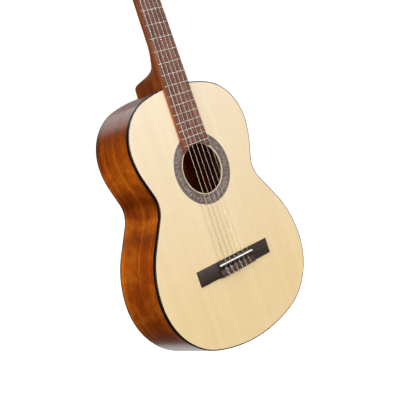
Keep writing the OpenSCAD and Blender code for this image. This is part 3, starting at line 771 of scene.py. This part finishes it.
def make_string(i):
    mat, slot, pitch = string_look(i)
    path = rounded(string_points(i), 0.8)
    verts, faces, uvs = tube(path, STRING_R[i - 1], pitch=pitch)
    add_mesh("string_%d_wire" % i, verts, faces, mat, replaces=("string_%d" % i,), uvs=uvs)


def make_tie(i):
    """The string comes out of its hole, over the tie block, round itself and back under its own loop."""
    mat, slot, pitch = string_look(i)
    r = STRING_R[i - 1]
    x = string_x(i, SADDLE_SPREAD)
    top = TIE_BLOCK_TOP - r
    w = (0.9 if i > 3 else 0.5) + 1.25 * r
    route = [
        (0.0, TIE_HOLE_Y, -21.4), (0.1, -5.5, -22.6), (0.4, -7.3, -23.0), (0.8 * w, top, -21.2),
        (w, top, -17.5), (w, top, -13.0), (w, top - 0.05, -10.4), (0.9 * w, -7.9, -8.1),
        (0.4 * w, -5.7, -6.8), (-0.5 * w, -5.9, -6.5), (-w, -7.9, -7.6), (-w, top - 0.1, -9.8),
        (-w, top, -13.0), (-0.95 * w, top - 0.4 * r, -15.6), (-0.1 * w, top - 1.9 * r, -17.0),
        (1.0 * w, top - 2.0 * r, -17.9), (1.9 * w, top - 0.6 * r, -18.3), (1.9 * w, top + 0.1, -19.6),
        (0.9 * w, top + 0.25, -20.6), (-0.5 * w, top - 0.1, -20.8), (-1.1 * w, top, -21.8),
        (-1.3 * w, -7.4, -23.0)]
    path = spline([(x + a, b, SADDLE_Z + c) for a, b, c in route])
    verts, faces, uvs = tube(path, r * (1.2 if i > 3 else 0.9), sides=10, pitch=pitch)
    add_mesh("string_%d_tie" % i, verts, faces, mat, uvs=uvs)


def make_wrap(i):
    """The turns of the string on its roller."""
    mat, slot, pitch = string_look(i)
    r = STRING_R[i - 1]
    reach = ROLLER_R + r + 0.02
    turns, steps = 3.4, 22
    inwards = -side(i)
    gap = 2 * r + 0.06

    def turned(turn, ahead=0.0, out=reach, past=0.0):
        a = -math.pi / 2 + 2 * math.pi * turn + ahead
        across = WIND_X[i - 1] + inwards * (gap * turn + past)
        return from_head(across, ROLLER_Y + out * math.sin(a), roller_at(i) + out * math.cos(a))

    path = [turned(k / steps) for k in range(int(turns * steps) + 1)]
    path.append(turned(turns, 0.3, reach * 0.98, 0.4))
    verts, faces, uvs = tube(path, r, sides=10, pitch=pitch)
    add_mesh("string_%d_wrap" % i, verts, faces, mat, body="roller_group_%d" % i, uvs=uvs)


# ---- tuner buttons ----
def make_button(i):
    """Turned button, pressed flat on two sides with soft edges, a few tenths slimmer than the part's."""
    profile = [(0, 0), (2.6, 0.05), (3.3, 0.5), (3.6, 1.3), (3.5, 2.4), (4.4, 3.1), (6.4, 4.2), (8.1, 6.0),
               (8.9, 8.2), (9.0, 10.2), (8.4, 12.4), (7.0, 14.2), (4.8, 15.5), (2.3, 16.1), (0, 16.25)]
    around = 40
    verts = []
    for r, y in profile:
        for k in range(around):
            a = 2 * math.pi * k / around
            px, pz = r * math.cos(a), r * math.sin(a)
            px = px / (1 + abs(px / BUTTON_HALF_T) ** BUTTON_POWER) ** (1 / BUTTON_POWER)
            verts.append(from_head(
                side(i) * WORM_X + px, ROLLER_Y + BUTTON_Y + y, roller_at(i) - WORM_DROP + pz))
    faces = grid_faces(len(profile), around, wrap_cols=True)
    obj = add_mesh("tuner_button_%d" % i, verts, faces, PEARL, body="button_group_%d" % i,
                   replaces=("button_%d" % i,))
    smooth_by_angle(obj, 60, 0.00005)
    extra = obj.modifiers.new("Fine", "SUBSURF")
    extra.levels = extra.render_levels = 1


# ---- carried-over CAD nodes ----
def dress_nodes():
    """Materials and, in millimetres, bevels of the CAD nodes that show as they are."""
    dress("soundboard", SPRUCE)
    for name in ("top_linings", "back_linings", "neck_block", "tail_block"):
        dress(name, INNER_WOOD)
    for name in ("back_centre_strip", "fan_braces", "harmonic_bars", "bridge_patch", "soundhole_patch",
                 "back_braces"):
        dress(name, BRACE_WOOD)
    dress("end_strip", BLACK)
    dress("heel_cap", BACK_WOOD)
    dress("headstock", NECK_WOOD, 1.0)
    dress("head_veneer", VENEER_WOOD, 0.3)
    dress("fingerboard", BOARD_WOOD)
    dress("frets", FRET_METAL, angle=50)
    dress("nut", BONE, 0.2)
    dress("bridge", BRIDGE_WOOD, 0.35, 24)
    dress("saddle", SADDLE_BONE, angle=50)
    for name in ("tuner_plate_bass", "tuner_plate_treble"):
        dress(name, BRASS)
    dress("plate_screws", BRASS, 0.2)
    for i in STRINGS:
        dress("roller_%d" % i, ROLLER_PLASTIC)
        dress("gear_%d" % i, GEAR_BRASS)
        dress("worm_%d" % i, GEAR_BRASS)


dress_nodes()
make_bindings()
make_rib("rib_skin_bass", -1, "rib_bass")
make_rib("rib_skin_treble", 1, "rib_treble")
make_back()
make_rosette()
make_neck()
for i in STRINGS:
    make_string(i)
    make_tie(i)
    make_wrap(i)
    make_button(i)


# ---- floor, light, camera ----
def make_floor():
    """White ground that glows, and lends no light or reflection to the guitar."""
    mesh = bpy.data.meshes.new("floor")
    reach, level = 30.0, -0.75
    corners = [(-reach, -reach, level), (reach, -reach, level), (reach, reach, level), (-reach, reach, level)]
    mesh.from_pydata(corners, [], [(0, 1, 2, 3)])
    g = Graph("FloorPaint", Roughness=0.9, Specular_IOR_Level=0.1, Emission_Strength=0.85)
    g.shader.inputs["Emission Color"].default_value = (1, 1, 1, 1)
    tone = g.noise((1.5, 1.5, 1.5), 3.0)
    mesh.materials.append(g.paint(g.ramp(tone, [(0.0, rgb(250, 250, 250)), (1.0, rgb(255, 255, 255))])))
    floor = bpy.data.objects.new("floor", mesh)
    bpy.context.scene.collection.objects.link(floor)
    floor.visible_diffuse = floor.visible_glossy = False


def area_light(name, at, target, size, watts):
    """A soft rectangular light that faces its target."""
    data = bpy.data.lights.new(name, "AREA")
    data.shape = "RECTANGLE"
    data.size, data.size_y = size
    data.energy = watts
    lamp = bpy.data.objects.new(name, data)
    lamp.location = at
    lamp.rotation_euler = (Vector(target) - Vector(at)).to_track_quat("-Z", "Y").to_euler()
    bpy.context.scene.collection.objects.link(lamp)


def make_world():
    """White round about for the eye; for light it is dimmer, and dark towards the far left like a flag card."""
    seen_white, lit_white, lit_dark = 1.1, 0.49, 0.03
    dark_way, below_share = (-0.68, 0.73, 0.0), 0.3
    world = bpy.data.worlds.new("studio")
    bpy.context.scene.world = world
    world.use_nodes = True
    tree = world.node_tree
    seen = tree.nodes["Background"]
    seen.inputs["Color"].default_value = (1, 1, 1, 1)
    seen.inputs["Strength"].default_value = seen_white
    ways = tree.nodes.new("ShaderNodeTexCoord")
    toward = tree.nodes.new("ShaderNodeVectorMath")
    toward.operation = "DOT_PRODUCT"
    toward.inputs[1].default_value = dark_way
    tree.links.new(ways.outputs["Generated"], toward.inputs[0])
    shade = tree.nodes.new("ShaderNodeMapRange")
    shade.interpolation_type = "SMOOTHSTEP"
    shade.inputs["From Min"].default_value = 0.35
    shade.inputs["From Max"].default_value = 0.85
    shade.inputs["To Min"].default_value = lit_white
    shade.inputs["To Max"].default_value = lit_dark
    tree.links.new(toward.outputs["Value"], shade.inputs["Value"])
    lit = tree.nodes.new("ShaderNodeBackground")
    lit.inputs["Color"].default_value = (1.0, 0.985, 0.965, 1)
    parts = tree.nodes.new("ShaderNodeSeparateXYZ")
    tree.links.new(ways.outputs["Generated"], parts.inputs[0])
    below = tree.nodes.new("ShaderNodeMapRange")
    below.inputs["From Min"].default_value = -0.7
    below.inputs["From Max"].default_value = 0.1
    below.inputs["To Min"].default_value = below_share
    tree.links.new(parts.outputs["Z"], below.inputs["Value"])
    both = tree.nodes.new("ShaderNodeMath")
    both.operation = "MULTIPLY"
    tree.links.new(shade.outputs[0], both.inputs[0])
    tree.links.new(below.outputs[0], both.inputs[1])
    tree.links.new(both.outputs[0], lit.inputs["Strength"])
    path = tree.nodes.new("ShaderNodeLightPath")
    mix = tree.nodes.new("ShaderNodeMixShader")
    tree.links.new(path.outputs["Is Camera Ray"], mix.inputs[0])
    tree.links.new(lit.outputs[0], mix.inputs[1])
    tree.links.new(seen.outputs[0], mix.inputs[2])
    tree.links.new(mix.outputs[0], tree.nodes["World Output"].inputs[0])


def make_camera():
    """At the viewing angle: from the bass side, a little above, rolled so that the neck leans left."""
    at = Vector((-0.9604, -1.0945, 0.4077))
    azimuth, elevation, roll = math.radians(40.38), math.radians(5.47), math.radians(-18.8)
    ahead = Vector((math.sin(azimuth) * math.cos(elevation), math.cos(azimuth) * math.cos(elevation),
                    -math.sin(elevation)))
    level = ahead.cross(Vector((0, 0, 1))).normalized()
    up = level.cross(ahead)
    right = math.cos(roll) * level + math.sin(roll) * up
    tilted = right.cross(ahead)
    data = bpy.data.cameras.new("camera")
    data.sensor_width = 36.0
    data.lens = 74.19
    data.clip_start, data.clip_end = 0.01, 100.0
    camera = bpy.data.objects.new("camera", data)
    rotation = Matrix((right, tilted, -ahead)).transposed()
    camera.matrix_world = Matrix.Translation(at) @ rotation.to_4x4()
    bpy.context.scene.collection.objects.link(camera)
    bpy.context.scene.camera = camera


make_floor()
make_world()
make_camera()
MIDDLE = (0, 0.03, 0.3)
area_light("key", (0.9, -2.5, 0.95), MIDDLE, (0.7, 0.7), 44)
area_light("left", (-2.6, -0.8, 0.75), MIDDLE, (1.7, 1.5), 51)
area_light("top", (-0.3, -0.8, 2.6), MIDDLE, (1.6, 1.2), 9)
area_light("sheen", (0.15, 1.95, 1.95), MIDDLE, (1.5, 0.6), 5.5)
area_light("kick", (0.3, 1.0, -0.73), (-0.05, 0.05, 0.02), (0.5, 0.5), 1.0)
bpy.context.scene.view_settings.view_transform = "Standard"
